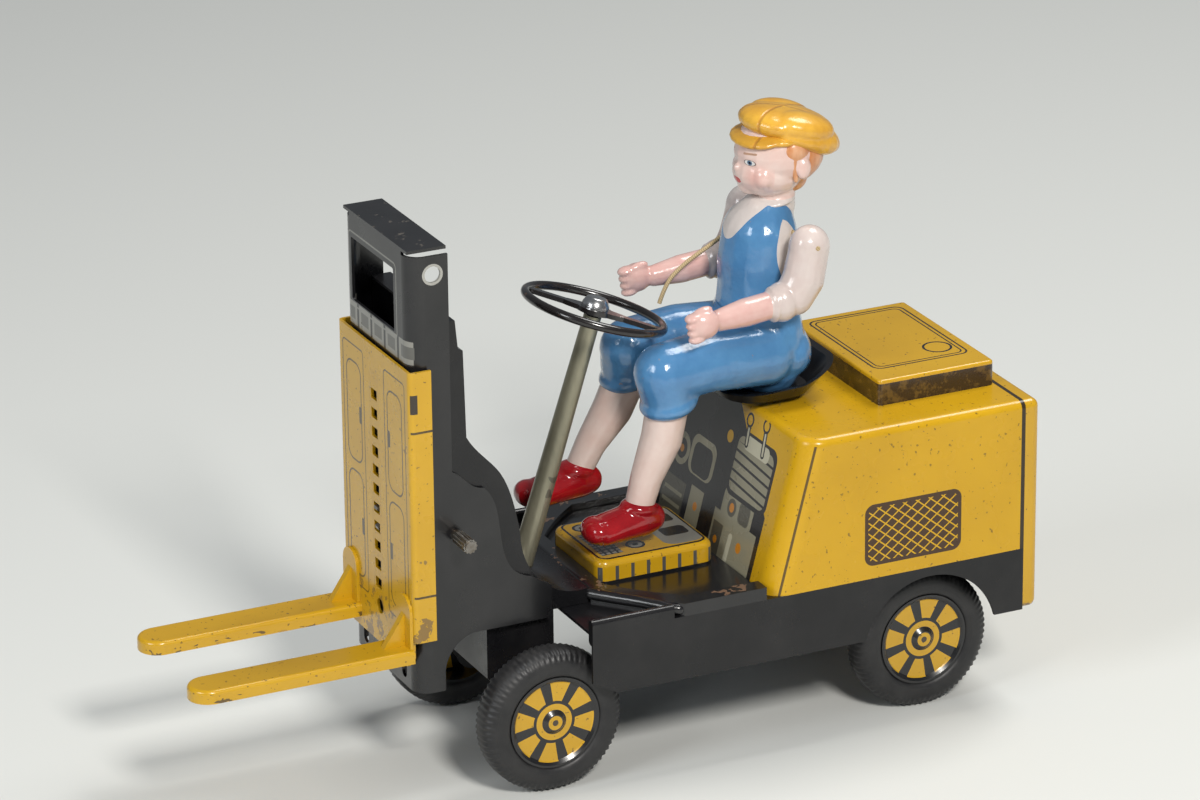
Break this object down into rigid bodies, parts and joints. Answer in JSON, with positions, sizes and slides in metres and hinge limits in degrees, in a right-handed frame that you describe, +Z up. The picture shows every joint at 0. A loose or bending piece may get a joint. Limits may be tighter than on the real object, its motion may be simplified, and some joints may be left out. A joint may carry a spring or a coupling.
{
  "type": "toy forklift",
  "caption": "tin toy forklift with a sliding fork carriage on a channel mast, a hand-turned lift shaft, a friction motor on the rear axle and a seated doll driver",
  "frame": {"origin": "middle of the bounding box, on the ground plane under the tyres", "axes": "+X to the vehicle's left, +Y to the rear, +Z up"},
  "size_m": [0.0768, 0.2266, 0.161],
  "materials": {
    "black_enamel": "gloss black lithographed tin with worn edges",
    "yellow_litho": "gloss golden yellow lithographed tin, speckled with age",
    "litho_floor": "printed floor sheet with yellow and grey detail",
    "bare_tin": "dull bare tin-plated steel",
    "steel_shaft": "drawn steel wire and turned steel",
    "bright_dome": "bright plated dome nut",
    "black_wheel": "moulded black steering wheel",
    "rubber_tyre": "black rubber with fine cross ribs on the shoulders",
    "motor_steel": "stamped motor steel",
    "motor_brass": "stamped brass gear",
    "lead_disc": "cast flywheel",
    "doll_overalls": "glossy painted celluloid",
    "doll_head": "painted celluloid face and golden cap",
    "doll_arm": "painted celluloid arm with white sleeve",
    "string": "tan twisted string"
  },
  "bodies": {
    "truck": {"chassis": "black_enamel", "floor_deck": "black_enamel", "floor_panel": "litho_floor", "body_shell": "yellow_litho", "rear_cap": "yellow_litho", "hood_cover": "yellow_litho", "seat_pan": "black_enamel", "mast_channel": "black_enamel", "mast_back": "black_enamel", "front_axle_bracket": "black_enamel", "motor_frame": "motor_steel", "steering_column": "bare_tin", "driver_body": "doll_overalls", "driver_head": "doll_head", "shoulder_cord": "string", "arm_string": "string"},
    "lift_carriage": {"carriage": "yellow_litho", "left_fork": "black_enamel", "right_fork": "black_enamel", "left_guide_strip": "bare_tin", "right_guide_strip": "bare_tin"},
    "lift_spindle": {"lift_shaft": "steel_shaft", "lift_sprocket": "steel_shaft"},
    "front_wheels": {"front_axle": "steel_shaft", "front_left_tyre": "rubber_tyre", "front_right_tyre": "rubber_tyre", "front_left_hub": "yellow_litho", "front_right_hub": "yellow_litho"},
    "rear_wheels": {"rear_axle": "steel_shaft", "rear_left_tyre": "rubber_tyre", "rear_right_tyre": "rubber_tyre", "rear_left_hub": "yellow_litho", "rear_right_hub": "yellow_litho", "drive_gear": "motor_brass"},
    "idler": {"idler_gear": "motor_brass"},
    "flywheel_disc": {"flywheel": "lead_disc"},
    "steering": {"steering_wheel": "black_wheel", "steering_cap": "bright_dome"},
    "left_arm": {"driver_left_arm": "doll_arm"},
    "right_arm": {"driver_right_arm": "doll_arm"}
  },
  "joints": [
    {"name": "carriage_lift", "type": "slide", "parent": "truck", "child": "lift_carriage", "axis": [0, 0, 1], "range_m": [-0.031, 0.017]},
    {"name": "lift_shaft_turn", "type": "hinge", "parent": "truck", "child": "lift_spindle", "pos_m": [0, -0.0423, 0.069], "axis": [1, 0, 0], "range_deg": [-92, 149]},
    {"name": "front_axle_spin", "type": "hinge", "parent": "truck", "child": "front_wheels", "pos_m": [0, -0.022, 0.019], "axis": [1, 0, 0], "continuous": true},
    {"name": "rear_axle_spin", "type": "hinge", "parent": "truck", "child": "rear_wheels", "pos_m": [0, 0.085, 0.019], "axis": [1, 0, 0], "continuous": true},
    {"name": "idler_spin", "type": "hinge", "parent": "truck", "child": "idler", "pos_m": [0, 0.0698, 0.024], "axis": [1, 0, 0], "continuous": true},
    {"name": "flywheel_spin", "type": "hinge", "parent": "truck", "child": "flywheel_disc", "pos_m": [0, 0.0548, 0.0265], "axis": [1, 0, 0], "continuous": true},
    {"name": "steering_turn", "type": "hinge", "parent": "truck", "child": "steering", "pos_m": [0, 0.0059, 0.1136], "axis": [0, 0.3107, 0.9505], "continuous": true},
    {"name": "left_arm_swing", "type": "hinge", "parent": "truck", "child": "left_arm", "pos_m": [0.0176, 0.0575, 0.1285], "axis": [-1, 0, 0], "range_deg": [-6, 100]},
    {"name": "right_arm_swing", "type": "hinge", "parent": "truck", "child": "right_arm", "pos_m": [-0.0176, 0.0575, 0.1285], "axis": [-1, 0, 0], "range_deg": [-6, 100]}
  ],
  "couplings": [
    {"joint": "lift_shaft_turn", "follows": "carriage_lift", "rad_per_m": -82.619},
    {"joint": "idler_spin", "follows": "rear_axle_spin", "ratio": -3},
    {"joint": "flywheel_spin", "follows": "rear_axle_spin", "ratio": 8.4}
  ]
}
